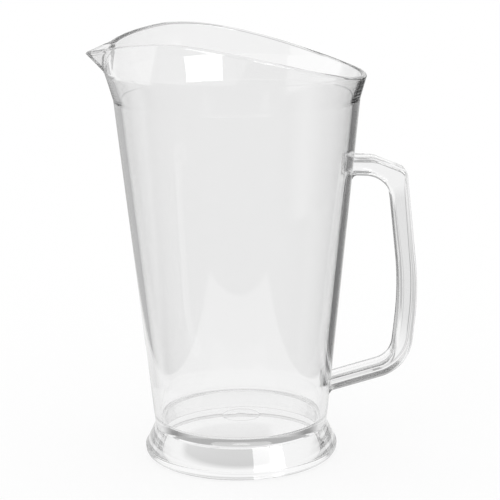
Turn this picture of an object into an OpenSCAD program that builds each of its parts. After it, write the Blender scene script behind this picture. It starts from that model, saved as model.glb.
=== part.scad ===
// Beer pitcher in clear plastic: a tapered vessel on a hollow foot, a flared pouring rim
// with a pinched V spout, and a bar handle cemented to the wall.
// Millimetres. Z is the axis of the vessel and z = 0 the table. The handle points to +X
// and the spout to -X. Angles round the rim are counted from the handle.

/* [Vessel] */
// Height of the joint between foot and vessel above the table
foot_joint_z = 16.5; // [13:0.5:22]
// Outer radius of the vessel at the foot joint
base_r = 47.9; // [45:0.1:50]
// Height of the wall from the foot joint to the ring line under the rim
wall_h = 182.3; // [176:0.5:200]
// Outer radius of the vessel at the ring line
ring_r = 66.3; // [63:0.1:68]
// Thickness of the wall, level with the floor
wall_t = 3.6; // [3:0.1:4.6]
// Height of the floor's underside above the foot joint
floor_rise = 0.9; // [0.4:0.1:2]
// Thickness of the floor
floor_t = 3.8; // [3:0.1:6]
// Radius of the inside corner between floor and wall
floor_fillet = 2.2; // [1:0.1:4]
// Radius of the round recess under the floor at the moulding gate
gate_r = 10.4; // [7:0.1:14]
// Depth of the gate recess
gate_depth = 0.9; // [0.5:0.1:1.4]
// Radius of the cut-off gate stub inside the recess
stub_r = 3.2; // [2:0.1:5]
// Height of the gate stub
stub_h = 0.5; // [0.2:0.1:0.8]

/* [Foot] */
// How far the lip round the bottom of the skirt stands out past the vessel at the joint
foot_spread = 5.7; // [4.5:0.1:8]
// Height of the lip
lip_h = 5.6; // [4.6:0.1:8]
// Thickness of the lip
lip_t = 6.3; // [5.8:0.1:7]
// Radius of the lip's upper edge
lip_top_round = 1; // [0.6:0.1:1.6]
// Angle of that rounded edge, from the skirt down to the upright part
lip_top_turn = 60; // [45:1:75]
// Radius of the lip's lower edge
lip_round = 3.6; // [2:0.1:3.6]
// Radius of the lower edge inside the foot
lip_in_round = 1.2; // [0.6:0.1:1.6]

/* [Weld seams] */
// Thickness of the tongue on each end of the vessel
tongue_t = 1.2; // [0.8:0.1:1.6]
// Height of the tongues
tongue_h = 1.6; // [1:0.1:2.4]
// Clearance between a tongue and its groove
tongue_clear = 0.12; // [0.1:0.01:0.2]
// Thickness of the cement between the handle and the wall
cement_t = 0.05; // [0.03:0.01:0.2]

/* [Pouring rim] */
// Height of the flare above the ring line, where the collar begins
flare_h = 15; // [13:0.5:19]
// Outer radius of the collar above the flare
collar_r = 70.6; // [69:0.1:73]
// How straight the flare is: 1 is a cone, more is a trumpet
flare_bend = 1.05; // [1:0.05:1.4]
// How far the top of the collar leans in beside the spout
pinch = 4.4; // [2:0.1:5]
// Angle at which the collar leans in the most
pinch_angle = 137; // [131:1:145]
// Angle from there back to where the collar stands upright
pinch_back = 79; // [62:1:86]
// How late the collar leans in: 1 is a straight lean
lean_bend = 1.1; // [1:0.05:1.6]
// Height of the rim above the ring line at the handle
back_h = 13.2; // [10:0.1:16]
// Height of the rim's two shoulders above the ring line
shoulder_h = 35.6; // [31:0.1:40]
// Angle of the shoulders
shoulder_angle = 123; // [113:1:130]
// How late the rim climbs from the handle to the shoulder: 1 is a plain wave
climb_bend = 1.3; // [1:0.05:1.6]
// How late the rim falls from the shoulder to the spout
fall_bend = 1.5; // [1.2:0.05:1.8]
// Wall thickness at the rim's edge
edge_t = 3.2; // [2.6:0.1:4]
// Radius of the rim's two rounded edges
edge_round = 1; // [0.6:0.1:1.2]

/* [Spout] */
// Angle of each spout facet from the keel to its crease at the rim
facet_angle = 25; // [22:0.5:29]
// Height of the facet crease above the ring line, at the rim
facet_h = 32; // [29:0.1:33]
// Radius of the spout's tip
tip_r = 81.5; // [79:0.1:85]
// Height of the tip above the ring line
tip_h = 26.6; // [24:0.2:29]
// Radius of the foot of the keel
keel_r = 71.2; // [70:0.1:73]
// Height of the keel's foot above the ring line
keel_h = 15.7; // [13:0.2:18]
// Wall thickness of the facets
facet_t = 2.6; // [2:0.1:3.2]
// Softness of the crease between facet and collar
crease_soft = 1.2; // [0.4:0.1:2]

/* [Handle] */
// Width of the handle across its side faces
handle_w = 16.5; // [14:0.1:22]
// Radius of the handle's long edges
bar_round = 2.6; // [1.6:0.1:3.4]
// Height of the top of the upper arm at the wall
arm_top_z = 166.2; // [160:0.2:175]
// Thickness of the upper arm
arm_t = 10.1; // [9:0.1:13]
// Fall of the upper arm's top near the wall, in degrees
arm_fall = 2.5; // [0:0.5:6]
// Length of that part, from the wall
arm_l = 11; // [8:0.2:14]
// Fall of the thumb rest, in degrees
thumb_fall = 22; // [15:0.5:28]
// Reach of the thumb corner from the wall
thumb_reach = 28.8; // [27:0.1:34]
// Reach of the grip's bow from the wall beside the upper arm
bow_reach = 35.7; // [34:0.1:42]
// Height of the bow
bow_z = 90.9; // [84:0.2:100]
// Reach of the heel corner
heel_reach = 30.8; // [29:0.1:36]
// Height of the heel corner
heel_z = 46; // [40:0.2:52]
// Slope of the lower arm, in degrees
lower_rise = 15; // [10:0.5:20]
// Thickness of the grip
grip_t = 9.7; // [8.6:0.1:12]
// Thickness of the lower arm
lower_t = 8; // [7:0.1:11]
// Radius of the bend at the start of the thumb rest
arm_bend_r = 10; // [6:0.5:16]
// Radius of the thumb corner
thumb_r = 4.5; // [3:0.1:7]
// Radius of the grip's bow
bow_r = 165; // [120:5:220]
// Radius of the heel
heel_r = 24; // [18:0.5:28]
// Inside radius under the upper arm
crook_r = 15.5; // [10:0.5:17]
// Inside radius above the heel
inner_heel_r = 12; // [8:0.5:14]
// Radius of the fillet under each arm at the wall
root_fillet = 2.4; // [1:0.1:4]

/* [Hidden] */

// Colour of the clear plastic
clear = [0.86, 0.89, 0.91, 0.55];
// Segments of the turned surfaces
$fn = 180;
// Segments of a small fillet in a profile
fillet_steps = 6;

// Heights and radii that the pieces share
ring_z = foot_joint_z + wall_h;
floor_z = foot_joint_z + floor_rise + floor_t;
wall_slope = (ring_r - base_r) / wall_h;
function wall_r(z) = base_r + wall_slope * (z - foot_joint_z);
foot_r = base_r + foot_spread;
foot_seam_r = base_r - wall_t / 2;
ring_seam_r = ring_r - wall_t / 2;

// Points on an arc of a profile
function arc(c, r, a0, a1, n = fillet_steps) =
    [for (i = [0 : n]) let (a = a0 + (a1 - a0) * i / n) c + r * [cos(a), sin(a)]];

// Two corners of a tongue, and the four points of its groove, on the seam radius r
function tongue(r, z, rise) = [[r + tongue_t / 2, z], [r + tongue_t / 2, z + rise],
                               [r - tongue_t / 2, z + rise], [r - tongue_t / 2, z]];
function groove(r, z, rise) = let (h = tongue_t / 2 + tongue_clear)
    [[r - h, z], [r - h, z + rise], [r + h, z + rise], [r + h, z]];
groove_h = tongue_h + tongue_clear;

// Vessel: tapered wall and flat floor, with the gate mark under it and a tongue at each end
module vessel() {
    lean = atan(wall_slope);
    inner_r = wall_r(floor_z) - wall_t;
    // centre of the inside corner, touching the floor and the leaning wall
    corner_r = inner_r - floor_fillet * (1 / cos(lean) - wall_slope);
    inside_corner = arc([corner_r, floor_z + floor_fillet], floor_fillet, -lean, -90);
    under_z = floor_z - floor_t;
    gate_z = under_z + gate_depth;
    color(clear) rotate_extrude()
        polygon(concat(
            [[base_r, foot_joint_z], [ring_r, ring_z]],
            tongue(ring_seam_r, ring_z, tongue_h),
            [[ring_r - wall_t, ring_z]],
            inside_corner,
            [[0, floor_z], [0, gate_z - stub_h], [stub_r, gate_z - stub_h], [stub_r, gate_z],
             [gate_r, gate_z], [gate_r, under_z], [base_r - wall_t, under_z],
             [base_r - wall_t, foot_joint_z]],
            [for (i = [3 : -1 : 0]) tongue(foot_seam_r, foot_joint_z, -tongue_h)[i]]));
}

// Foot: hollow skirt that spreads straight from the joint to a rounded lip
module foot() {
    lip_in = foot_r - lip_t;
    color(clear) rotate_extrude()
        polygon(concat(
            [[base_r, foot_joint_z]],
            arc([foot_r - lip_top_round, lip_h - lip_top_round], lip_top_round, lip_top_turn, 0),
            arc([foot_r - lip_round, lip_round], lip_round, 0, -90),
            arc([lip_in + lip_in_round, lip_in_round], lip_in_round, -90, -180),
            [[lip_in, lip_h], [base_r - wall_t, foot_joint_z]],
            groove(foot_seam_r, foot_joint_z, -groove_h)));
}

// Angles of the rim's sections: wide steps round the collar, fine ones at the spout
wide_steps = 34;
fine_steps = 28;
fine_from = pinch_angle - 9;
half_angles = concat([for (i = [0 : wide_steps - 1]) fine_from * i / wide_steps],
                     [for (i = [0 : fine_steps]) fine_from + (180 - fine_from) * i / fine_steps]);
last = len(half_angles) - 1;
rim_angles = concat(half_angles, [for (i = [last - 1 : -1 : 1]) 360 - half_angles[i]]);
// Angle from the handle on either side
function side(a) = a > 180 ? 360 - a : a;

// Plan radius of the collar's top: a circle drawn in beside the spout
function draw_in(a) = let (reach = a < pinch_angle ? pinch_back : 180 - pinch_angle,
                           off = abs(a - pinch_angle)) off < reach ? pow(cos(90 * off / reach), 2) : 0;
function plan_r(a) = collar_r - pinch * draw_in(a);

// Spout facet: the plane through the tip, the keel's foot and the crease's top
crease_a = 180 - facet_angle;
tip = [-tip_r, 0, ring_z + tip_h];
keel = [-keel_r, 0, ring_z + keel_h];
crease_top = [plan_r(crease_a) * cos(crease_a), plan_r(crease_a) * sin(crease_a), ring_z + facet_h];
facet_cross = cross(tip - keel, crease_top - keel);
facet_n = facet_cross / norm(facet_cross);
// Radius of the facet, moved in by t, in direction a at height z; it fades out past its crease
fade_per_degree = 0.4;
function facet_r(a, z, t) = let (past = max(0, crease_a - a))
    (facet_n * keel - t - facet_n[2] * z) / (facet_n[0] * cos(a) + facet_n[1] * sin(a))
    - fade_per_degree * past;
function soft_max(p, q) = max(p, q) + pow(max(0, crease_soft - abs(p - q)), 2) / (4 * crease_soft);

// Outer radius of the rim, moved in by t, or by facet_t on the facets: a round flare, then a
// collar that leans in beside the spout
facet_limit = pinch_angle;
function flare_share(z) = min(1, max(0, (z - ring_z) / flare_h));
function lean_share(z) = max(0, (z - ring_z - flare_h) / (shoulder_h - flare_h));
function flare_r(a, z) = ring_r + (collar_r - ring_r) * pow(flare_share(z), flare_bend)
    - pinch * draw_in(a) * pow(lean_share(z), lean_bend);
function rim_r(a, z, t, facet_in) = a < facet_limit ? flare_r(a, z) - t
    : soft_max(flare_r(a, z) - t, facet_r(a, z, facet_in));

// Height of the rim: a wave from the handle to the shoulder, a fall to the crease, then a
// straight edge to the tip
function cross2(p, q) = p[0] * q[1] - p[1] * q[0];
function edge_share(a) = let (d = [cos(a), sin(a)], c = [crease_top[0], crease_top[1]],
                              e = [tip[0], tip[1]] - c) -cross2(c, d) / cross2(e, d);
function rim_h(a) =
    a < shoulder_angle ? back_h + (shoulder_h - back_h)
        * pow((1 - cos(180 * a / shoulder_angle)) / 2, climb_bend)
    : a < crease_a ? shoulder_h + (facet_h - shoulder_h)
        * pow((a - shoulder_angle) / (crease_a - shoulder_angle), fall_bend)
    : facet_h + (tip_h - facet_h) * edge_share(a);

// Section of the rim at angle a, as [radius, height]: up the outside, over the rounded edge,
// down the inside and round the groove
flare_rows = 5;
collar_rows = 5;
edge_steps = 3;
least_collar = 0.2;
function row_heights(top) = let (h = top - ring_z, f = min(flare_h, h * (1 - least_collar)))
    concat([for (i = [0 : flare_rows - 1]) ring_z + f * i / flare_rows],
           [for (i = [0 : collar_rows]) ring_z + f + (h - f) * i / collar_rows]);
function rim_section(a) = let (
        top = ring_z + rim_h(a) - edge_round,
        rows = row_heights(top),
        n = len(rows) - 1,
        share = [for (z = rows) (z - ring_z) / (top - ring_z)],
        outer = [for (z = rows) [rim_r(a, z, 0, 0), z]],
        inner = [for (i = [n : -1 : 0]) let (t = wall_t + (edge_t - wall_t) * share[i])
                 [rim_r(a, rows[i], t, facet_t), rows[i]]],
        turns = [for (i = [1 : edge_steps]) 90 * i / edge_steps],
        outer_edge = [for (b = turns) outer[n] + edge_round * [cos(b) - 1, sin(b)]],
        inner_edge = [for (i = [edge_steps - 1 : -1 : 0])
                      inner[0] + edge_round * [1 - cos(turns[i]), sin(turns[i])]])
    concat(outer, outer_edge, inner_edge, inner, groove(ring_seam_r, ring_z, groove_h));

// Triangles between neighbouring closed sections, and over the ends of an open row of sections
function band(rows, n, closed) = [for (i = [0 : rows - (closed ? 1 : 2)], j = [0 : n - 1])
    let (i2 = (i + 1) % rows, j2 = (j + 1) % n)
    each [[i * n + j, i * n + j2, i2 * n + j2], [i * n + j, i2 * n + j2, i2 * n + j]]];
function cap(first, n, flip) = [for (j = [1 : n - 2])
    flip ? [first, first + j + 1, first + j] : [first, first + j, first + j + 1]];

// Pouring rim: sections lofted round the vessel
module pouring_rim() {
    sections = [for (a = rim_angles) [for (p = rim_section(side(a)))
                                      [p[0] * cos(a), p[0] * sin(a), p[1]]]];
    color(clear) polyhedron([for (s = sections) each s],
                            band(len(sections), len(sections[0]), true), convexity = 8);
}

// Line through two points, moved by d to its right, as [point, direction]
function moved_line(p, q, d) = let (u = (q - p) / norm(q - p)) [p + d * [u[1], -u[0]], u];
function meet(l, m) = l[0] + l[1] * cross2(m[0] - l[0], m[1]) / cross2(l[1], m[1]);
function at_reach(l, s) = l[0] + l[1] * (s - l[0][0]) / l[1][0];
// Fillet of radius r at corner b of the path a, b, c, as n points
function bend(a, b, c, r, n) = let (
        u = (a - b) / norm(a - b),
        v = (c - b) / norm(c - b),
        half = acos(u * v) / 2,
        axis = (u + v) / norm(u + v),
        centre = b + axis * r / sin(half),
        start = b + u * r / tan(half),
        turn = (180 - 2 * half) * sign(cross2(b - a, c - b)),
        from = start - centre)
    [for (i = [0 : n - 1]) let (t = turn * i / (n - 1))
     centre + [from[0] * cos(t) - from[1] * sin(t), from[0] * sin(t) + from[1] * cos(t)]];

// Handle outline in its own plane, as [distance from the axis, height]
root_r = wall_r(arm_top_z);
// How far the bar runs into the wall before the wall's cone trims it
root_in = 8;
arm_start = [root_r - root_in, arm_top_z + root_in * tan(arm_fall)];
arm_end = [root_r + arm_l, arm_top_z - arm_l * tan(arm_fall)];
thumb = [root_r + thumb_reach, arm_end[1] - (thumb_reach - arm_l) * tan(thumb_fall)];
bow = [root_r + bow_reach, bow_z];
heel = [root_r + heel_reach, heel_z];
lower_end_r = wall_r(heel_z - (root_r + heel_reach - base_r) * tan(lower_rise)) - root_in;
lower_end = [lower_end_r, heel_z - (heel[0] - lower_end_r) * tan(lower_rise)];

// Inside lines of the bar, at its thicknesses from the outside lines
under_arm = moved_line(arm_start, arm_end, arm_t);
in_grip = moved_line(thumb, bow, grip_t);
in_low_grip = moved_line(bow, heel, grip_t);
on_lower = moved_line(heel, lower_end, lower_t);
crook = meet(under_arm, in_grip);
in_bow = meet(in_grip, in_low_grip);
in_heel = meet(in_low_grip, on_lower);

// Fillets under the two arms, where they meet the wall
wall_line = [[base_r, foot_joint_z], [wall_slope, 1]];
wall_below = [wall_r(0), 0];
root_steps = 5;
arm_corner = meet(wall_line, under_arm);
arm_root = bend(wall_below, arm_corner, crook, root_fillet, root_steps);
lower_line = moved_line(heel, lower_end, 0);
lower_root = bend(heel, meet(wall_line, lower_line), wall_below, root_fillet, root_steps);
arm_line = moved_line(arm_start, arm_end, 0);
function inward(p) = p - [root_in, 0];

bend_steps = 9;
bar_outside = concat([arm_start], [for (p = arm_root) at_reach(arm_line, p[0])],
    bend(arm_start, arm_end, thumb, arm_bend_r, bend_steps),
    bend(arm_end, thumb, bow, thumb_r, bend_steps),
    bend(thumb, bow, heel, bow_r, bend_steps),
    bend(bow, heel, lower_end, heel_r, bend_steps),
    lower_root, [inward(lower_root[root_steps - 1])]);
bar_inside = concat([inward(arm_root[0])], arm_root,
    bend(arm_corner, crook, in_bow, crook_r, 2 * bend_steps),
    bend(crook, in_bow, in_heel, bow_r + grip_t, bend_steps),
    bend(in_bow, in_heel, at_reach(on_lower, base_r), inner_heel_r, bend_steps),
    [for (p = lower_root) at_reach(on_lower, p[0])], [at_reach(on_lower, lower_end[0])]);

// Section of the bar between an outside point p and an inside point q: a rounded rectangle
edge_points = 4;
function bar_section(p, q) = let (
        mid = (p + q) / 2,
        h = norm(p - q) / 2,
        u = (p - q) / (2 * h),
        r = min(bar_round, 0.9 * h))
    [for (k = [0 : 3], i = [0 : edge_points]) let (
        b = 90 * k + 90 * i / edge_points,
        x = (k == 0 || k == 3 ? 1 : -1) * (h - r) + r * cos(b),
        y = (k < 2 ? 1 : -1) * (handle_w / 2 - r) + r * sin(b))
     [mid[0] + u[0] * x, y, mid[1] + u[1] * x]];

// Handle: rounded bar swept along its outline, its two ends trimmed to saddles by the wall
module handle() {
    rings = [for (i = [0 : len(bar_outside) - 1]) bar_section(bar_outside[i], bar_inside[i])];
    n = len(rings[0]);
    last_ring = (len(rings) - 1) * n;
    color(clear) difference() {
        polyhedron([for (r = rings) each r],
                   concat(band(len(rings), n, false), cap(0, n, true), cap(last_ring, n, false)),
                   convexity = 6);
        translate([0, 0, foot_joint_z])
            cylinder(h = wall_h, r1 = base_r + cement_t, r2 = ring_r + cement_t);
    }
}

vessel();
pouring_rim();
foot();
handle();
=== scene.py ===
"""Beer pitcher in clear plastic: tapered vessel, hollow foot, rim with a pinched spout, bar handle."""

import math

import bpy
from mathutils import Matrix, Vector


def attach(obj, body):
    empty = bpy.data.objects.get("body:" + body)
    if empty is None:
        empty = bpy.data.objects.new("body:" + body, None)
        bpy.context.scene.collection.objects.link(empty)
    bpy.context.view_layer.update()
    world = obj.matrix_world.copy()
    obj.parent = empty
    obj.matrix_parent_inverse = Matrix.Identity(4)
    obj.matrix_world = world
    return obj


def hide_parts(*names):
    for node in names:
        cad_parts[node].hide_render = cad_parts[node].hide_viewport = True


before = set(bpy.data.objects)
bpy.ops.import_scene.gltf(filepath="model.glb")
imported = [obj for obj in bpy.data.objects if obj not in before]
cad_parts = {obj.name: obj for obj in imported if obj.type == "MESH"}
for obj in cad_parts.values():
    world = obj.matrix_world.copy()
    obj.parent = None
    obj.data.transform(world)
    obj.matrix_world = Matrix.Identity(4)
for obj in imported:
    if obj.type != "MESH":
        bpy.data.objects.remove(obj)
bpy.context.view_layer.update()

# Sizes in millimetres, the same values as in the part's source
MM = 0.001
FOOT_JOINT_Z, BASE_R, WALL_H, RING_R = 16.5, 47.9, 182.3, 66.3
WALL_T, FLOOR_RISE, FLOOR_T, FLOOR_FILLET = 3.6, 0.9, 3.8, 2.2
GATE_R, GATE_DEPTH, STUB_R, STUB_H = 10.4, 0.9, 3.2, 0.5
FOOT_SPREAD, LIP_H, LIP_T = 5.7, 5.6, 6.3
LIP_TOP_ROUND, LIP_TOP_TURN, LIP_ROUND, LIP_IN_ROUND = 1.0, 60.0, 3.6, 1.2
FLARE_H, COLLAR_R, FLARE_BEND, LEAN_BEND = 15.0, 70.6, 1.05, 1.1
PINCH, PINCH_ANGLE, PINCH_BACK = 4.4, 137.0, 79.0
BACK_H, SHOULDER_H, SHOULDER_ANGLE = 13.2, 35.6, 123.0
CLIMB_BEND, FALL_BEND, EDGE_T = 1.3, 1.5, 3.2
FACET_ANGLE, FACET_H, TIP_R, TIP_H = 25.0, 32.0, 81.5, 26.6
KEEL_R, KEEL_H, FACET_T, CREASE_SOFT = 71.2, 15.7, 2.6, 1.2
HANDLE_W, BAR_ROUND = 16.5, 2.6
ARM_TOP_Z, ARM_T, ARM_FALL, ARM_L = 166.2, 10.1, 2.5, 11.0
THUMB_FALL, THUMB_REACH, BOW_REACH, BOW_Z = 22.0, 28.8, 35.7, 90.9
HEEL_REACH, HEEL_Z, LOWER_RISE, GRIP_T, LOWER_T = 30.8, 46.0, 15.0, 9.7, 8.0
ARM_BEND_R, THUMB_R, BOW_R, HEEL_R = 10.0, 4.5, 165.0, 24.0
CROOK_R, INNER_HEEL_R, ROOT_FILLET = 15.5, 12.0, 2.4

# In the looks alone: the fine line of the weld under the rim, and a rim edge rounded by 0.5 mm more
SEAM_HALF, SEAM_DEPTH = 0.3, 0.09
EDGE_ROUND = 1.5

RING_Z = FOOT_JOINT_Z + WALL_H
FLOOR_Z = FOOT_JOINT_Z + FLOOR_RISE + FLOOR_T
WALL_SLOPE = (RING_R - BASE_R) / WALL_H
FOOT_R = BASE_R + FOOT_SPREAD

# Segments round the turned pieces, steps of a small fillet, rows up the wall
ROUND_STEPS, FILLET_STEPS, WALL_ROWS = 288, 8, 12
# Angles in degrees up to which an edge is shaded smooth: turned pieces, rim, handle
SMOOTH_TURNED, SMOOTH_RIM, SMOOTH_BAR = 30, 50, 40
# Distance in metres at which two points are one, and the weight that lets the largest faces win
SAME_POINT, LARGEST_FACES = 1e-6, 100


def wall_r(z):
    return BASE_R + WALL_SLOPE * (z - FOOT_JOINT_Z)


def sind(a):
    return math.sin(math.radians(a))


def cosd(a):
    return math.cos(math.radians(a))


def tand(a):
    return math.tan(math.radians(a))


def arc(centre, radius, start, end, steps=FILLET_STEPS):
    """Points on an arc of an outline, as (radius, height)."""
    turns = [start + (end - start) * i / steps for i in range(steps + 1)]
    return [(centre[0] + radius * cosd(a), centre[1] + radius * sind(a)) for a in turns]


def straight(start, end, steps):
    """Points between two ends of an outline, without the ends."""
    shares = [i / steps for i in range(1, steps)]
    return [tuple(p + (q - p) * s for p, q in zip(start, end)) for s in shares]


# Modelling helpers

def begin_edit():
    bpy.ops.object.mode_set(mode="EDIT")
    bpy.ops.mesh.select_mode(type="VERT")


def close_up(piece, smooth_angle):
    """Merges doubled points, turns the faces outwards and sets the shading."""
    begin_edit()
    bpy.ops.mesh.select_all(action="SELECT")
    bpy.ops.mesh.remove_doubles(threshold=SAME_POINT)
    bpy.ops.mesh.normals_make_consistent(inside=False)
    bpy.ops.mesh.select_all(action="DESELECT")
    bpy.ops.object.mode_set(mode="OBJECT")
    bpy.ops.object.shade_smooth_by_angle(angle=math.radians(smooth_angle))
    return piece


def flatten_faces(piece):
    """Lets the larger faces set the shading, so that flat faces stay flat up to their rounded edges."""
    bpy.ops.object.select_all(action="DESELECT")
    bpy.context.view_layer.objects.active = piece
    piece.select_set(True)
    bpy.ops.object.modifier_add(type="WEIGHTED_NORMAL")
    even = piece.modifiers[-1]
    even.weight, even.keep_sharp = LARGEST_FACES, True
    bpy.ops.object.modifier_apply(modifier=even.name)


def turned(name, outline):
    """Draws an outline point by point beside the axis and spins it round the axis."""
    points = [Vector((r * MM, 0, z * MM)) for r, z in outline]
    bpy.ops.object.select_all(action="DESELECT")
    bpy.ops.mesh.primitive_plane_add(size=MM, location=points[0])
    piece = bpy.context.object
    piece.name = name
    bpy.ops.object.transform_apply(location=True, rotation=True, scale=True)
    begin_edit()
    bpy.ops.mesh.select_all(action="SELECT")
    bpy.ops.mesh.merge(type="CENTER")
    for p, q in zip(points, points[1:]):
        bpy.ops.mesh.extrude_vertices_move(TRANSFORM_OT_translate={"value": q - p})
    bpy.ops.mesh.select_all(action="SELECT")
    bpy.ops.mesh.spin(steps=ROUND_STEPS, angle=2 * math.pi, center=(0, 0, 0), axis=(0, 0, 1))
    bpy.ops.object.mode_set(mode="OBJECT")
    return close_up(piece, SMOOTH_TURNED)


def lofted(name, rings, ends, smooth_angle):
    """Extrudes a circle ring by ring and moves each point to its place.

    ends is "join" for rings that close to a loop, or "fill" for a bar with caps.
    """
    count = len(rings[0])
    bpy.ops.object.select_all(action="DESELECT")
    bpy.ops.mesh.primitive_circle_add(vertices=count, radius=1, location=(0, 0, 0))
    piece = bpy.context.object
    piece.name = name
    begin_edit()
    bpy.ops.mesh.select_all(action="SELECT")
    if ends == "fill":
        bpy.ops.mesh.edge_face_add()
    for _ in rings[1:]:
        bpy.ops.mesh.extrude_region_move(TRANSFORM_OT_translate={"value": (0, 0, 1)})
    bpy.ops.object.mode_set(mode="OBJECT")
    for v in piece.data.vertices:
        turn = math.atan2(v.co.x, v.co.y) % (2 * math.pi)
        spoke = round(turn * count / (2 * math.pi)) % count
        v.co = Vector(rings[round(v.co.z)][spoke]) * MM
    return close_up(piece, smooth_angle)


# Vessel: tapered wall and flat floor, with the gate mark under it

GATE_EDGE = 0.3


def vessel_outline():
    lean = math.degrees(math.atan(WALL_SLOPE))
    inner_r = wall_r(FLOOR_Z) - WALL_T
    corner_r = inner_r - FLOOR_FILLET * (1 / cosd(lean) - WALL_SLOPE)
    inside_corner = arc((corner_r, FLOOR_Z + FLOOR_FILLET), FLOOR_FILLET, -90, -lean)
    under_z = FLOOR_Z - FLOOR_T
    gate_z = under_z + GATE_DEPTH
    ring_r = GATE_R * 2
    top_in, seam = (RING_R - WALL_T, RING_Z), (RING_R - SEAM_DEPTH, RING_Z)
    top_out = (wall_r(RING_Z - SEAM_HALF), RING_Z - SEAM_HALF)
    low_out, low_in = (BASE_R, FOOT_JOINT_Z), (BASE_R - WALL_T, FOOT_JOINT_Z)
    return (
        [(0, FLOOR_Z), (GATE_R, FLOOR_Z), (ring_r, FLOOR_Z)] + inside_corner
        + straight(inside_corner[-1], top_in, WALL_ROWS) + [top_in, seam, top_out]
        + straight(top_out, low_out, WALL_ROWS) + [low_out, low_in, (BASE_R - WALL_T, under_z)]
        + [(ring_r, under_z), (GATE_R + GATE_EDGE, under_z), (GATE_R, under_z + GATE_EDGE)]
        + [(GATE_R, gate_z), (STUB_R, gate_z), (STUB_R, gate_z - STUB_H), (0, gate_z - STUB_H)]
    )


vessel = turned("clear_vessel", vessel_outline())


# Foot: hollow skirt that spreads from the joint to a rounded lip

def foot_outline():
    lip_in = FOOT_R - LIP_T
    return (
        [(BASE_R, FOOT_JOINT_Z)]
        + arc((FOOT_R - LIP_TOP_ROUND, LIP_H - LIP_TOP_ROUND), LIP_TOP_ROUND, LIP_TOP_TURN, 0)
        + arc((FOOT_R - LIP_ROUND, LIP_ROUND), LIP_ROUND, 0, -90, 2 * FILLET_STEPS)
        + arc((lip_in + LIP_IN_ROUND, LIP_IN_ROUND), LIP_IN_ROUND, -90, -180)
        + [(lip_in, LIP_H), (BASE_R - WALL_T, FOOT_JOINT_Z), (BASE_R, FOOT_JOINT_Z)]
    )


foot = turned("clear_foot", foot_outline())


# Pouring rim: flared collar with a wavy edge, drawn in beside the spout

def draw_in(a):
    reach = PINCH_BACK if a < PINCH_ANGLE else 180 - PINCH_ANGLE
    off = abs(a - PINCH_ANGLE)
    return cosd(90 * off / reach) ** 2 if off < reach else 0.0


def plan_r(a):
    return COLLAR_R - PINCH * draw_in(a)


CREASE_A = 180 - FACET_ANGLE
TIP = Vector((-TIP_R, 0, RING_Z + TIP_H))
KEEL = Vector((-KEEL_R, 0, RING_Z + KEEL_H))
CREASE_R = plan_r(CREASE_A)
CREASE_TOP = Vector((CREASE_R * cosd(CREASE_A), CREASE_R * sind(CREASE_A), RING_Z + FACET_H))
FACET_N = (TIP - KEEL).cross(CREASE_TOP - KEEL).normalized()
FADE_PER_DEGREE = 0.4


def facet_r(a, z, t):
    """Radius of the spout's flat facet, moved in by t; it fades out past its crease."""
    reach = (FACET_N.dot(KEEL) - t - FACET_N.z * z) / (FACET_N.x * cosd(a) + FACET_N.y * sind(a))
    return reach - FADE_PER_DEGREE * max(0.0, CREASE_A - a)


def soft_max(p, q):
    return max(p, q) + max(0.0, CREASE_SOFT - abs(p - q)) ** 2 / (4 * CREASE_SOFT)


def rim_r(a, z, t, facet_in):
    """Outer radius of the rim, moved in by t: a round flare, then a collar that leans in beside the spout."""
    high = z - RING_Z
    flare = RING_R + (COLLAR_R - RING_R) * min(1.0, max(0.0, high / FLARE_H)) ** FLARE_BEND
    lean = max(0.0, (high - FLARE_H) / (SHOULDER_H - FLARE_H)) ** LEAN_BEND
    collar = flare - (COLLAR_R - plan_r(a)) * lean - t
    return collar if a < PINCH_ANGLE else soft_max(collar, facet_r(a, z, facet_in))


def rim_h(a):
    """Height of the rim's edge over the ring line, at an angle from the handle."""
    if a < SHOULDER_ANGLE:
        return BACK_H + (SHOULDER_H - BACK_H) * ((1 - cosd(180 * a / SHOULDER_ANGLE)) / 2) ** CLIMB_BEND
    if a < CREASE_A:
        share = (a - SHOULDER_ANGLE) / (CREASE_A - SHOULDER_ANGLE)
        return SHOULDER_H + (FACET_H - SHOULDER_H) * share ** FALL_BEND
    d = Vector((cosd(a), sind(a)))
    crease, edge = CREASE_TOP.xy, TIP.xy - CREASE_TOP.xy
    return FACET_H + (TIP_H - FACET_H) * -crease.cross(d) / edge.cross(d)


# Rows up the flare and the collar, steps over the edge, and the most of a low rim that is flare
FLARE_ROWS, COLLAR_ROWS, EDGE_STEPS, FLARE_SHARE = 14, 14, 6, 0.8


def rim_section(a):
    """Section of the rim as (radius, height): up the outside, over the rounded edge, down the inside."""
    top = RING_Z + rim_h(a) - EDGE_ROUND
    high = top - RING_Z
    flare = min(FLARE_H, high * FLARE_SHARE)
    rows = [RING_Z, RING_Z + SEAM_HALF] + [RING_Z + flare * i / FLARE_ROWS for i in range(1, FLARE_ROWS)]
    rows += [RING_Z + flare + (high - flare) * i / COLLAR_ROWS for i in range(COLLAR_ROWS + 1)]
    outer = [(rim_r(a, z, SEAM_DEPTH if z == RING_Z else 0, 0), z) for z in rows]
    inner = []
    for z in reversed(rows):
        t = WALL_T + (EDGE_T - WALL_T) * (z - RING_Z) / high
        inner.append((rim_r(a, z, t, FACET_T), z))
    turns = [90 * i / EDGE_STEPS for i in range(1, EDGE_STEPS + 1)]
    over = [(outer[-1][0] + EDGE_ROUND * (cosd(b) - 1), top + EDGE_ROUND * sind(b)) for b in turns]
    over += [(inner[0][0] + EDGE_ROUND * (1 - cosd(b)), top + EDGE_ROUND * sind(b)) for b in reversed(turns)]
    return outer + over + inner


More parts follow.
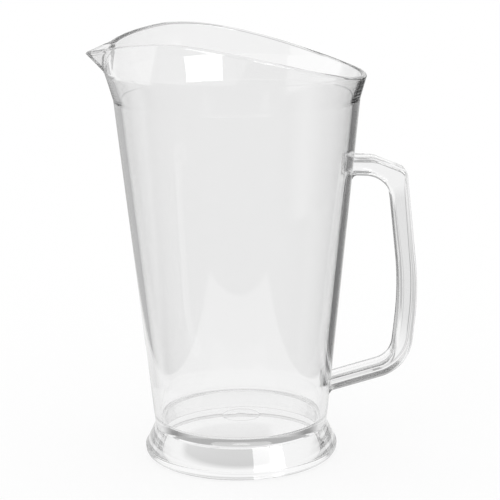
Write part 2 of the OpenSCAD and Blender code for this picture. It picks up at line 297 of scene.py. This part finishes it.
# Angles of the sections, finer from a little before the pinch to the spout
FINE_BEFORE, BACK_STEPS, SPOUT_STEPS = 9, 96, 60
FINE_FROM = PINCH_ANGLE - FINE_BEFORE
half = [FINE_FROM * i / BACK_STEPS for i in range(BACK_STEPS)]
half += [FINE_FROM + (180 - FINE_FROM) * i / SPOUT_STEPS for i in range(SPOUT_STEPS + 1)]
rim_angles = half + [360 - a for a in reversed(half[1:-1])]
sections = [rim_section(min(a, 360 - a)) for a in rim_angles]
rim_rings = [
    [(s[row][0] * cosd(a), s[row][0] * sind(a), s[row][1]) for s, a in zip(sections, rim_angles)]
    for row in list(range(len(sections[0]))) + [0]
]
rim = lofted("clear_pouring_rim", rim_rings, "join", SMOOTH_RIM)


# Handle: rounded bar swept along its outline, its two ends saddles on the wall

def moved_line(p, q, d):
    u = (q - p).normalized()
    return p + d * Vector((u.y, -u.x)), u


def meet(l, m):
    return l[0] + l[1] * ((m[0] - l[0]).cross(m[1]) / l[1].cross(m[1]))


def at_reach(line, s):
    return line[0] + line[1] * ((s - line[0].x) / line[1].x)


def bend(a, b, c, radius, steps):
    """Fillet at corner b of the path a, b, c."""
    u, v = (a - b).normalized(), (c - b).normalized()
    half_turn = math.acos(u.dot(v)) / 2
    centre = b + (u + v).normalized() * (radius / math.sin(half_turn))
    start = b + u * (radius / math.tan(half_turn)) - centre
    turn = math.copysign(math.pi - 2 * half_turn, (b - a).cross(c - b))
    return [centre + Matrix.Rotation(turn * i / (steps - 1), 2) @ start for i in range(steps)]


ROOT_R = wall_r(ARM_TOP_Z)
ROOT_IN = 8.0
arm_start = Vector((ROOT_R - ROOT_IN, ARM_TOP_Z + ROOT_IN * tand(ARM_FALL)))
arm_end = Vector((ROOT_R + ARM_L, ARM_TOP_Z - ARM_L * tand(ARM_FALL)))
thumb = Vector((ROOT_R + THUMB_REACH, arm_end.y - (THUMB_REACH - ARM_L) * tand(THUMB_FALL)))
bow = Vector((ROOT_R + BOW_REACH, BOW_Z))
heel = Vector((ROOT_R + HEEL_REACH, HEEL_Z))
lower_r = wall_r(HEEL_Z - (ROOT_R + HEEL_REACH - BASE_R) * tand(LOWER_RISE)) - ROOT_IN
lower_end = Vector((lower_r, HEEL_Z - (heel.x - lower_r) * tand(LOWER_RISE)))

under_arm = moved_line(arm_start, arm_end, ARM_T)
in_grip = moved_line(thumb, bow, GRIP_T)
in_low_grip = moved_line(bow, heel, GRIP_T)
on_lower = moved_line(heel, lower_end, LOWER_T)
crook, in_bow, in_heel = meet(under_arm, in_grip), meet(in_grip, in_low_grip), meet(in_low_grip, on_lower)

wall_line = (Vector((BASE_R, FOOT_JOINT_Z)), Vector((WALL_SLOPE, 1)))
wall_below = Vector((wall_r(0), 0))
arm_corner = meet(wall_line, under_arm)
arm_line, lower_line = moved_line(arm_start, arm_end, 0), moved_line(heel, lower_end, 0)
ROOT_STEPS, BEND_STEPS = 8, 17
arm_root = bend(wall_below, arm_corner, crook, ROOT_FILLET, ROOT_STEPS)
lower_root = bend(heel, meet(wall_line, lower_line), wall_below, ROOT_FILLET, ROOT_STEPS)

bar_outside = (
    [at_reach(arm_line, p.x) for p in arm_root]
    + bend(arm_start, arm_end, thumb, ARM_BEND_R, BEND_STEPS)
    + bend(arm_end, thumb, bow, THUMB_R, BEND_STEPS)
    + bend(thumb, bow, heel, BOW_R, BEND_STEPS)
    + bend(bow, heel, lower_end, HEEL_R, BEND_STEPS)
    + lower_root
)
bar_inside = (
    arm_root
    + bend(arm_corner, crook, in_bow, CROOK_R, 2 * BEND_STEPS)
    + bend(crook, in_bow, in_heel, BOW_R + GRIP_T, BEND_STEPS)
    + bend(in_bow, in_heel, at_reach(on_lower, BASE_R), INNER_HEEL_R, BEND_STEPS)
    + [at_reach(on_lower, p.x) for p in lower_root]
)
# Steps round a corner of the bar, the most of its half thickness that is round, rings of a saddle
CORNER_STEPS, ROUND_SHARE, SADDLE_SHARES = 8, 0.9, (0.75, 0.5, 0.25)


def bar_section(p, q):
    """Rounded rectangle between an outside point and an inside point of the bar."""
    mid, h = (p + q) / 2, (p - q).length / 2
    u = (p - q) / (2 * h)
    r = min(BAR_ROUND, ROUND_SHARE * h)
    ring = []
    for corner in range(4):
        for i in range(CORNER_STEPS + 1):
            b = 90 * corner + 90 * i / CORNER_STEPS
            x = (h - r) * (1 if corner in (0, 3) else -1) + r * cosd(b)
            y = (HANDLE_W / 2 - r) * (1 if corner < 2 else -1) + r * sind(b)
            ring.append((mid.x + u.x * x, y, mid.y + u.y * x))
    return ring


def on_wall(point):
    """The point moved along X on to the vessel's wall."""
    return (math.sqrt(wall_r(point[2]) ** 2 - point[1] ** 2), point[1], point[2])


def saddle(end):
    """Rings that close an end of the bar on the wall, from its edge towards its middle."""
    middle = sum((Vector(p) for p in end), Vector()) / len(end)
    return [[on_wall(middle.lerp(Vector(p), share)) for p in end] for share in SADDLE_SHARES]


bar_rings = [bar_section(p, q) for p, q in zip(bar_outside, bar_inside)]
arm_seat = [on_wall(p) for p in bar_rings[0]]
lower_seat = [on_wall(p) for p in bar_rings[-1]]
handle = lofted(
    "clear_handle",
    saddle(arm_seat)[::-1] + [arm_seat] + bar_rings[1:-1] + [lower_seat] + saddle(lower_seat),
    "fill", SMOOTH_BAR,
)


# Seats of the handle, cut into the faces of the vessel's wall

# Room beside a seat, reach above and below its middle, and slack of the wall's outside, in millimetres
SEAT_ROOM, SEAT_REACH, WALL_SLACK = 1, 15, 0.2


def inside_seat(seat, place):
    """True where a place on the wall lies inside the outline of a seat, seen along X."""
    turns = [
        (b[1] - a[1]) * (place[2] - a[2]) - (b[2] - a[2]) * (place[1] - a[1])
        for a, b in zip(seat, seat[1:] + seat[:1])
    ]
    return min(turns) >= 0 or max(turns) <= 0


def cut_seat(piece, seat):
    middle_z = sum(p[2] for p in seat) / len(seat)
    bpy.ops.object.select_all(action="DESELECT")
    bpy.context.view_layer.objects.active = piece
    piece.select_set(True)
    for face in piece.data.polygons:
        p = face.center / MM
        near = p.x > 0 and abs(p.y) < HANDLE_W / 2 + SEAT_ROOM and abs(p.z - middle_z) < SEAT_REACH
        face.select = near and math.hypot(p.x, p.y) > wall_r(p.z) - WALL_SLACK
    bpy.ops.object.mode_set(mode="EDIT")
    bpy.ops.mesh.select_mode(type="FACE")
    bpy.ops.mesh.hide(unselected=True)
    for a, b in zip(seat, seat[1:] + seat[:1]):
        bpy.ops.mesh.select_all(action="SELECT")
        bpy.ops.mesh.bisect(
            plane_co=Vector(a) * MM, plane_no=(0, b[2] - a[2], a[1] - b[1]), threshold=SAME_POINT)
    bpy.ops.mesh.reveal(select=False)
    bpy.ops.mesh.select_all(action="DESELECT")
    bpy.ops.object.mode_set(mode="OBJECT")


for seat in (arm_seat, lower_seat):
    cut_seat(vessel, seat)
for piece in (vessel, foot, rim, handle):
    flatten_faces(piece)


# Materials

class Wire:
    """A node's output that takes part in sums."""

    def __init__(self, graph, socket):
        self.graph, self.socket = graph, socket

    def sum(self, operation, first, second=None):
        values = {0: first} if second is None else {0: first, 1: second}
        return self.graph.node("Math", {"operation": operation}, values)

    def __add__(self, other):
        return self.sum("ADD", self, other)

    def __radd__(self, other):
        return self.sum("ADD", other, self)

    def __sub__(self, other):
        return self.sum("SUBTRACT", self, other)

    def __rsub__(self, other):
        return self.sum("SUBTRACT", other, self)

    def __mul__(self, other):
        return self.sum("MULTIPLY", self, other)

    def __rmul__(self, other):
        return self.sum("MULTIPLY", other, self)

    def __truediv__(self, other):
        return self.sum("DIVIDE", self, other)

    def __pow__(self, other):
        return self.sum("POWER", self, other)

    def __abs__(self):
        return self.sum("ABSOLUTE", self)

    def above(self, other):
        return self.sum("GREATER_THAN", self, other)

    def inside(self, low, high):
        return self.above(low) * (1 - self.above(high))

    def most(self, other):
        return self.sum("MAXIMUM", self, other)

    def least(self, other):
        return self.sum("MINIMUM", self, other)

    def rise(self, start, end):
        """0 up to start, 1 from end, and a straight ramp between."""
        return ((self - start) / (end - start)).most(0.0).least(1.0)

    def fall(self, start, end):
        return 1 - self.rise(start, end)

    def towards(self, other, share):
        """This value where share is 0, the other where it is 1."""
        return self + share * (other - self)


class Graph:
    """The nodes of one material or of the world."""

    def __init__(self, owner):
        owner.use_nodes = True
        self.tree = owner.node_tree
        self.tree.nodes.clear()

    def node(self, kind, settings=None, inputs=None, out=0):
        made = self.tree.nodes.new("ShaderNode" + kind)
        for key, value in (settings or {}).items():
            setattr(made, key, value)
        for key, value in (inputs or {}).items():
            if isinstance(value, Wire):
                self.tree.links.new(value.socket, made.inputs[key])
            else:
                made.inputs[key].default_value = value
        return Wire(self, made.outputs[out]) if made.outputs else None


def part(g, vector, axis):
    return g.node("SeparateXYZ", inputs={0: vector}, out=axis)


# Clear plastic: refraction and colour, waves left by the flow, and the rubbed underside of the lip
WHITE, CLEAR = (1, 1, 1, 1), (0.97, 0.97, 0.97, 1)
REFRACTION, FLOW_SCALE, FLOW_DETAIL, FLOW_STRENGTH, FLOW_HEIGHT = 1.57, 28.0, 1.5, 0.006, 0.001
RUB_SCALE, RUB_DETAIL, RUB_H, RUB_MOST = 900.0, 3.0, 0.002, 0.5


def solid_noise(g, place, scale, detail):
    values = {"Vector": place, "Scale": scale, "Detail": detail}
    return g.node("TexNoise", {"noise_dimensions": "3D"}, values)


def clear_plastic():
    material = bpy.data.materials.new("clear_plastic")
    g = Graph(material)
    place = g.node("TexCoord", out="Object")
    flow = solid_noise(g, place, FLOW_SCALE, FLOW_DETAIL)
    bump = g.node("Bump", inputs={"Height": flow, "Strength": FLOW_STRENGTH, "Distance": FLOW_HEIGHT})
    height = part(g, place, "Z")
    worn = (1 - height / RUB_H).most(0.0)
    rub = solid_noise(g, place, RUB_SCALE, RUB_DETAIL)
    shader = g.node("BsdfPrincipled", inputs={
        "Base Color": CLEAR,
        "Roughness": worn * rub * RUB_MOST,
        "IOR": REFRACTION,
        "Transmission Weight": 1.0,
        "Normal": bump,
    })
    g.node("OutputMaterial", inputs={"Surface": shader})
    return material


def weld_face():
    """The faces of a weld, where the plastic of two pieces has flowed together and nothing shows."""
    material = bpy.data.materials.new("weld_face")
    g = Graph(material)
    shader = g.node("BsdfPrincipled", inputs={"Base Color": WHITE, "Alpha": 0.0, "IOR": 1.0})
    g.node("OutputMaterial", inputs={"Surface": shader})
    return material


PLASTIC, WELD = clear_plastic(), weld_face()


def dress(piece, node, is_weld):
    piece.data.materials.clear()
    piece.data.materials.append(PLASTIC)
    piece.data.materials.append(WELD)
    for face in piece.data.polygons:
        face.material_index = 1 if is_weld(face.center / MM, face.normal) else 0
    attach(piece, "root")
    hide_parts(node)


# Slack of a level face in millimetres, and the least part of a normal along Z or X on a weld
LEVEL_SLACK, FLAT, FACING = 0.01, 0.99, 0.9


def level(place, z):
    return abs(place.z - z) < LEVEL_SLACK


def on_seat(p):
    on_outside = p.x > 0 and math.hypot(p.x, p.y) > wall_r(p.z) - WALL_SLACK
    return on_outside and any(inside_seat(s, p) for s in (arm_seat, lower_seat))


def vessel_weld(p, n):
    at_end = abs(n.z) > FLAT and (level(p, RING_Z) or level(p, FOOT_JOINT_Z))
    return at_end or n.x > FACING and on_seat(p)


dress(vessel, "vessel", vessel_weld)
dress(rim, "pouring_rim", lambda p, n: n.z < -FLAT and level(p, RING_Z))
dress(foot, "foot", lambda p, n: n.z > FLAT and level(p, FOOT_JOINT_Z))
dress(handle, "handle", lambda p, n: n.x < -FACING and on_seat(p))


# Floor, world and studio light

def light_path(g, name):
    return g.node("LightPath", out=name)


def mirrored(g):
    """1 for light that the plastic has mirrored on its way, 0 for what is seen straight or through it."""
    return light_path(g, "Glossy Depth").above(0.5)


def often_mirrored(g):
    """1 for light that has been mirrored more than once."""
    return light_path(g, "Glossy Depth").above(1.5)


def first_surface(g):
    """1 for light that has not been inside the plastic."""
    return 1 - light_path(g, "Transmission Depth").above(0.5)


def through_one_bar(g):
    """1 for light that has passed through one solid bar or one wall, as in the handle."""
    return light_path(g, "Transmission Depth").inside(1.5, 2.5)


def past_near_wall(g):
    """1 for light that has passed through the near wall and met the plastic again."""
    return light_path(g, "Transmission Depth").above(2.5)


def through_base(g):
    """1 for light that has crossed more faces than the four of two walls, as in the base."""
    return light_path(g, "Transmission Depth").above(4.5)


# The camera looks along +Y, turned by this many degrees towards +X
TURN = 3.083


def in_view(x, y):
    """A place or a direction as its parts across the view and along it."""
    return x * cosd(TURN) - y * sind(TURN), x * sind(TURN) + y * cosd(TURN)


def stage_piece(made, name, surface, g, paint):
    made.name = name
    bpy.ops.object.transform_apply(location=True, rotation=True, scale=True)
    g.node("OutputMaterial", inputs={"Surface": surface})
    made.data.materials.append(paint)


# Painted light and shade of the floor in mirrored light: places in metres across and along the view, lights
# from 0 to 1
SHEET_LEFT, SHEET_RIGHT, SHEET_FRONT = -0.154, 0.146, -0.264
SHEET_LIGHT, SHEET_PER_M, SHEET_LEAST, SHEET_MOST = 0.70, 0.9, 0.45, 0.9
NEAR_LEFT, NEAR_RIGHT, NEAR_FRONT, NEAR_EXTRA = -0.095, 0.090, -0.188, 0.1
LEFT_LIGHT, LEFT_FROM, DIM_LIGHT = 0.43, 0.02, 0.06
RIGHT_ACROSS, RIGHT_FROM, RIGHT_LIGHT, RIGHT_FADE, RIGHT_LEAST = 0.062, 0.05, 0.95, 2.1, 0.07
CLOSE_R, CLOSE_LIGHT = 0.13, 0.85
BACK_FROM, BACK_LEFT, BACK_RIGHT, BACK_LIGHT = 0.2, -0.085, 0.055, 0.1
BEHIND_FROM, BEHIND_TO, BEHIND_SIDE, BEHIND_LIGHT = 0.05, 0.17, 0.06, 0.42
STREAK_X, STREAK_Y, STREAK_SCALE = (0.02, 0.14), (-0.18, -0.01), 60.0
STREAK_GAIN, STREAK_LESS, STREAK_LEAST = 0.7, 0.25, 0.02
LEAST_ALONG = 0.01


def floor_in_mirrors(g, place, x, y, across, along, radius):
    """The floor as the plastic mirrors it, with painted light and shade: a lit sheet round the object, in a
    dim studio.
    """
    on_sheet = across.inside(SHEET_LEFT, SHEET_RIGHT) * along.above(SHEET_FRONT)
    near_part = across.inside(NEAR_LEFT, NEAR_RIGHT) * along.above(NEAR_FRONT)
    sheet = (SHEET_LIGHT + along * SHEET_PER_M).most(SHEET_LEAST).least(SHEET_MOST)
    left_side = (1 - across.above(SHEET_LEFT)) * along.above(LEFT_FROM)
    light = DIM_LIGHT + left_side * (LEFT_LIGHT - DIM_LIGHT)
    light = light.towards(sheet + near_part * NEAR_EXTRA, on_sheet)

    # Behind on the right, the light fades with the angle from the view
    turned_away = (across - RIGHT_ACROSS).most(0.0) / along.most(LEAST_ALONG)
    fade = (RIGHT_LIGHT - turned_away * RIGHT_FADE).most(RIGHT_LEAST).least(1.0)
    light = light.towards(fade, along.above(RIGHT_FROM) * across.above(RIGHT_ACROSS))

    # It is light close to the object, after more than one mirror, and through the base
    close = (1 - radius.above(CLOSE_R)).most(often_mirrored(g)).most(through_base(g))
    light = light.towards(CLOSE_LIGHT, close)

    # It is dark far behind for the outer faces, and dimmer close behind for a bar or one wall
    at_back = first_surface(g) * along.above(BACK_FROM) * across.inside(BACK_LEFT, BACK_RIGHT)
    light = light.towards(BACK_LIGHT, at_back)
    one_bar = through_one_bar(g)
    behind = one_bar * along.inside(BEHIND_FROM, BEHIND_TO) * (1 - abs(across).above(BEHIND_SIDE))
    light = light.towards(BEHIND_LIGHT, behind)

    # Painted shadow with dark streaks on the floor in front of the handle, in what a bar mirrors more than
    # once
    noise = g.node("TexNoise", {"noise_dimensions": "2D"}, {"Vector": place, "Scale": STREAK_SCALE})
    streaky_shadow = (noise * STREAK_GAIN - STREAK_LESS).most(STREAK_LEAST)
    shadow_in_front = one_bar * often_mirrored(g) * x.inside(*STREAK_X) * y.inside(*STREAK_Y)
    return light.towards(streaky_shadow, shadow_in_front)


# Painted shade on the floor seen through the plastic: ramps in metres, stripes as spans of lean with their
# shades
UNDER_R, UNDER_SIDE, UNDER_MIDDLE = (0.034, 0.040), (0.023, 0.028), -0.008
UNDER_SHADE, UNDER_PER_M, UNDER_MOST = 0.21, 3.4, 0.4
GRIP_PLACE, GRIP_VIEW, GRIP_BOW = 0.0775, 0.212, 0.08
STRIPES_START, STRIPES_END, STRIPES_LEFT = (0.19, 0.25), (0.68, 0.74), -0.02
LEAST_Y, FAR_LEAN = 0.001, 99.0
SHADE_STRIPES = (
    (-FAR_LEAN, -0.26, 0.34), (-0.26, -0.12, 0.17), (-0.12, -0.01, 0.52), (-0.01, 0.075, 0.14),
    (0.075, 0.17, 0.34), (0.17, 0.32, 0.12), (0.32, 1.0, 0.45), (1.0, FAR_LEAN, 0.8),
)


def floor_through_plastic(g, x, y, across, along, radius):
    """White, with a painted shadow under the foot and painted shade stripes that the grip's round edges bend
    into view.
    """
    # Painted shadow on the floor under the foot, darker towards the front
    foot_shadow = radius.fall(*UNDER_R) * abs(across - UNDER_MIDDLE).fall(*UNDER_SIDE)
    foot_shadow = foot_shadow * (UNDER_SHADE - along * UNDER_PER_M).most(0.0).least(UNDER_MOST)
    # Painted shade stripes on the floor behind the grip, set by the lean of a place from a line behind it
    behind_grip = GRIP_PLACE + y * (GRIP_VIEW - y * GRIP_BOW)
    lean = (x - behind_grip) / y.most(LEAST_Y)
    stripes = sum(lean.inside(low, high) * shade for low, high, shade in SHADE_STRIPES)
    stripes = stripes * y.rise(*STRIPES_START) * y.fall(*STRIPES_END) * x.above(STRIPES_LEFT)
    return 1 - foot_shadow.most(stripes * through_one_bar(g)) * light_path(g, "Is Transmission Ray")


GROUND_R, GROUND_DROP, GROUND_SIDES, SHADOW_SHARE = 8.0, 0.0002, 96, 0.15


def lay_floor():
    """A floor that glows white, with painted light and shade where the plastic shows it, and a share of plain
    white paint that takes the object's shadow.
    """
    bpy.ops.object.select_all(action="DESELECT")
    bpy.ops.mesh.primitive_circle_add(
        vertices=GROUND_SIDES, radius=GROUND_R, fill_type="NGON", location=(0, 0, -GROUND_DROP))
    made = bpy.context.object
    paint = bpy.data.materials.new("pale_floor")
    g = Graph(paint)
    place = g.node("TexCoord", out="Object")
    x, y = (part(g, place, axis) for axis in "XY")
    across, along = in_view(x, y)
    radius = (x * x + y * y) ** 0.5
    seen = floor_through_plastic(g, x, y, across, along, radius)
    seen = seen.towards(floor_in_mirrors(g, place, x, y, across, along, radius), mirrored(g))
    glow = g.node("Emission", inputs={"Color": seen, "Strength": 1.0})
    pale = g.node("BsdfDiffuse", inputs={"Color": WHITE})
    lit = light_path(g, "Is Diffuse Ray").most(light_path(g, "Is Camera Ray") * SHADOW_SHARE)
    stage_piece(made, "floor", g.node("MixShader", inputs={0: lit, 1: glow, 2: pale}), g, paint)


lay_floor()


# Room: heights are the upward part of a direction, widths are shares of its part along the view
ROOM_LIGHT, CEILING, CEILING_EXTRA = 0.12, (0.5, 0.9), 0.43
BACKDROP_WIDTH, BACKDROP_TOP, WIDE_WIDTH, WIDE_TOP = 0.24, 0.62, 1.5, 0.75
STEEP, STEEPEST, BAR_LIGHT, STEEP_LESS = 0.48, 0.7, 0.8, 0.35
DUSK_START, DUSK_END, DUSK_LEAST, DUSK_MOST = (0.3, 0.9), (1.0, 1.7), 0.3, 0.9
DUSK_BAND, RIPPLE_SCALE, RIPPLE_DETAIL, RIPPLE_LIGHT = (0.5, 0.68), 90.0, 1.0, 0.4
INSIDE_LIGHT, LEAST_AHEAD = 0.85, 0.01
OVERHEAD, OVERHEAD_SHADE = (0.12, 0.22), 0.6


def room_in_mirrors(g, ahead, side, up):
    """The room as the plastic mirrors it: a white backdrop, dim walls and a paler ceiling."""
    room = ROOM_LIGHT + up.rise(*CEILING) * CEILING_EXTRA
    backdrop = (ahead * BACKDROP_WIDTH - side).above(0.0) * (1 - up.above(BACKDROP_TOP))
    wide = (ahead * WIDE_WIDTH - side).above(0.0) * (1 - up.above(WIDE_TOP))
    room = room.towards(1.0, backdrop.most(first_surface(g) * wide))
    steep, many = up.above(STEEP), often_mirrored(g)
    room = room.towards(INSIDE_LIGHT, (many * (1 - steep)).most(through_base(g)))

    # Inside a bar or one wall it is light, with a rippled dusk to both sides and above
    aside = side / ahead.most(LEAST_AHEAD)
    dusk = aside.rise(*DUSK_START).most(DUSK_LEAST).least(DUSK_MOST).most(steep) * aside.fall(*DUSK_END)
    dusk = dusk.most(many * up.inside(*DUSK_BAND)) * (1 - up.above(STEEPEST))
    ripple = g.node(
        "TexNoise", {"noise_dimensions": "1D"}, {"W": up, "Scale": RIPPLE_SCALE, "Detail": RIPPLE_DETAIL})
    inside_bar = BAR_LIGHT - up.inside(STEEP, STEEPEST) * STEEP_LESS
    return room.towards(inside_bar.towards(ripple * RIPPLE_LIGHT, dusk), through_one_bar(g))


def build_room():
    world = bpy.data.worlds.new("studio")
    bpy.context.scene.world = world
    g = Graph(world)
    way = g.node("TexCoord", out="Generated")
    x, y, up = (part(g, way, axis) for axis in "XYZ")
    side, ahead = in_view(x, y)
    seen = 1 - up.rise(*OVERHEAD).least(OVERHEAD_SHADE) * light_path(g, "Is Transmission Ray")
    seen = seen.towards(room_in_mirrors(g, ahead, abs(side), up), mirrored(g))
    backing = g.node("Background", inputs={"Color": seen, "Strength": 1.0})
    g.node("OutputWorld", inputs={"Surface": backing})


build_room()


def card(name, corners, low, high, front_glow, back_glow=None, far_wall=False):
    """An upright card or softbox from one ground point to another, seen only in reflections.

    With far_wall it shows only in light from past the near wall, and otherwise only in the rest.
    """
    (ax, ay), (bx, by) = corners
    bpy.ops.object.select_all(action="DESELECT")
    bpy.ops.mesh.primitive_plane_add(size=1, location=(0, 0, 0))
    made = bpy.context.object
    made.rotation_euler = (math.pi / 2, 0, math.atan2(by - ay, bx - ax))
    made.scale = (math.hypot(bx - ax, by - ay), high - low, 1)
    made.location = ((ax + bx) / 2, (ay + by) / 2, (low + high) / 2)
    paint = bpy.data.materials.new(name)
    g = Graph(paint)
    light = (front_glow, front_glow, front_glow, 1)
    if back_glow is not None:
        depth = part(g, g.node("TexCoord", out="Object"), "Y")
        light = front_glow + depth.rise(ay, by) * (back_glow - front_glow)
    seen = g.node("Emission", inputs={"Color": light, "Strength": 1.0})
    unseen = g.node("BsdfTransparent")
    wall = past_near_wall(g) if far_wall else 1 - past_near_wall(g)
    shown = mirrored(g) * (1 - often_mirrored(g)) * wall
    stage_piece(made, name, g.node("MixShader", inputs={0: shown, 1: unseen, 2: seen}), g, paint)
    made.visible_camera = made.visible_shadow = made.visible_diffuse = False


CARD_LOW, CARD_HIGH, SOFTBOX_HIGH = 0.112, 0.195, 0.40
# The left cards glow with painted light, as lit white cards would, changing along their length
card("left_card", ((-0.140, -0.065), (-0.146, 0.01)), CARD_LOW, CARD_HIGH, 0.25, 0.95, far_wall=True)
card("left_card_middle", ((-0.146, 0.01), (-0.151, 0.09)), CARD_LOW, CARD_HIGH, 0.95, 0.45, far_wall=True)
card("left_card_back", ((-0.151, 0.09), (-0.165, 0.30)), CARD_LOW, CARD_HIGH, 0.45, far_wall=True)
card("left_softbox", ((-0.140, -0.065), (-0.156, 0.16)), CARD_HIGH, SOFTBOX_HIGH, 1.0)
card("left_softbox_behind", ((-0.141, -0.065), (-0.157, 0.16)), CARD_HIGH, SOFTBOX_HIGH, 1.3, far_wall=True)
card("right_softbox", ((0.34, -1.56), (1.16, -0.89)), 0.48, 1.26, 6.0)

# Camera at the photograph's angle, its place in metres
PITCH, ROLL = 13.511, 0.0114
LENS_MM, SENSOR_MM, CAMERA_PLACE = 123.94, 36, (-0.0433, -0.9176, 0.3354)
ahead = Vector((sind(TURN) * cosd(PITCH), cosd(TURN) * cosd(PITCH), -sind(PITCH)))
level_right = Vector((cosd(TURN), -sind(TURN), 0))
level_up = level_right.cross(ahead)
right = (level_right - ROLL * level_up).normalized()
lens = bpy.data.cameras.new("camera")
lens.lens, lens.sensor_width = LENS_MM, SENSOR_MM
camera = bpy.data.objects.new("camera", lens)
bpy.context.scene.collection.objects.link(camera)
axes = Matrix((right, right.cross(ahead), -ahead)).transposed()
camera.matrix_world = Matrix.Translation(CAMERA_PLACE) @ axes.to_4x4()
bpy.context.scene.camera = camera
bpy.context.scene.view_settings.view_transform = "Standard"

# Light runs a long way inside clear walls before it comes out
paths = bpy.context.scene.cycles
paths.max_bounces, paths.transmission_bounces, paths.glossy_bounces = 128, 48, 128
